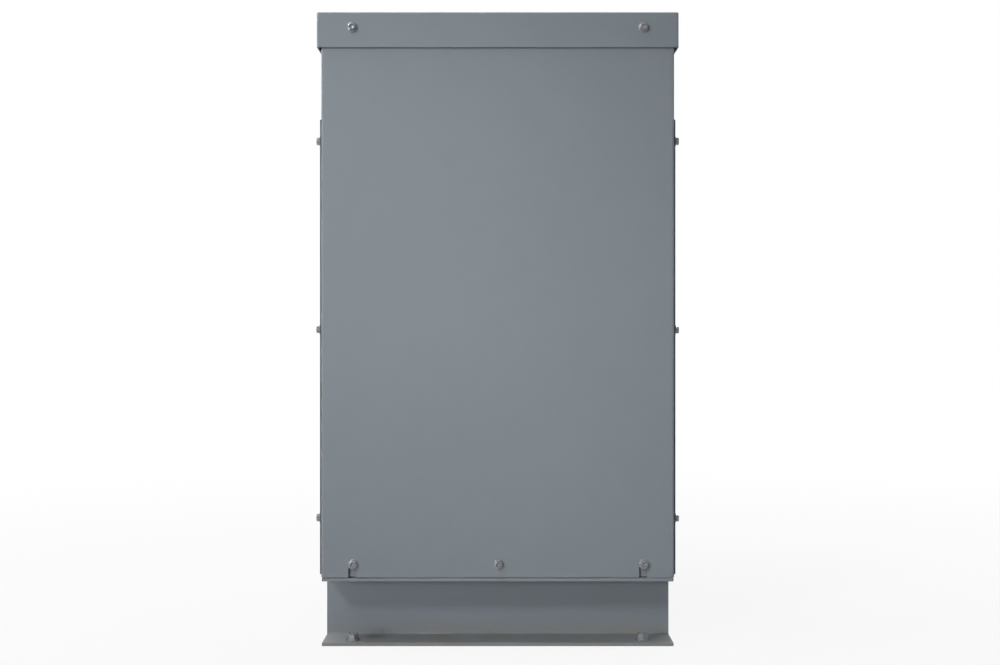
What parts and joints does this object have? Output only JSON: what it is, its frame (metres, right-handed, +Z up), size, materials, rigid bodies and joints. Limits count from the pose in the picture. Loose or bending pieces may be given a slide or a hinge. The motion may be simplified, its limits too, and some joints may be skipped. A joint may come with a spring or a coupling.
{
  "type": "power transformer",
  "caption": "Floor-standing dry-type power transformer in a screwed sheet-steel enclosure with a shoebox lid, side covers, louvred vents and channel base rails.",
  "frame": {"origin": "on the floor, under the middle of the enclosure", "axes": "+Z up, -Y out of the front panel, +X to the right as one faces the front panel"},
  "size_m": [0.5214, 0.617, 0.914],
  "materials": {
    "enclosure_paint": "satin powder coat, blue-grey",
    "fastener": "dulled zinc plate",
    "clamp_steel": "matt primer",
    "core_steel": "stacked electrical steel, varnished",
    "winding": "varnished insulating wrap",
    "rubber_pad": "matt",
    "insulating_board": "matt"
  },
  "bodies": {
    "root": {"base_rail_front": "enclosure_paint", "base_rail_back": "enclosure_paint", "sill_front": "enclosure_paint", "sill_back": "enclosure_paint", "sill_left": "enclosure_paint", "sill_right": "enclosure_paint", "post_front_left": "enclosure_paint", "post_front_right": "enclosure_paint", "post_back_left": "enclosure_paint", "post_back_right": "enclosure_paint", "front_panel": "enclosure_paint", "back_panel": "enclosure_paint", "left_cover": "enclosure_paint", "right_cover": "enclosure_paint", "left_vent": "enclosure_paint", "right_vent": "enclosure_paint", "left_louvres": "enclosure_paint", "right_louvres": "enclosure_paint", "lid": "enclosure_paint", "core_beam_left": "enclosure_paint", "core_beam_right": "enclosure_paint", "lower_clamp_left": "clamp_steel", "lower_clamp_right": "clamp_steel", "upper_clamp_left": "clamp_steel", "upper_clamp_right": "clamp_steel", "core_bottom_yoke": "core_steel", "core_top_yoke": "core_steel", "core_leg_front": "core_steel", "core_leg_middle": "core_steel", "core_leg_back": "core_steel", "coil_front": "winding", "coil_middle": "winding", "coil_back": "winding", "isolator_pads": "rubber_pad", "coil_blocks": "insulating_board"}
  },
  "joints": []
}
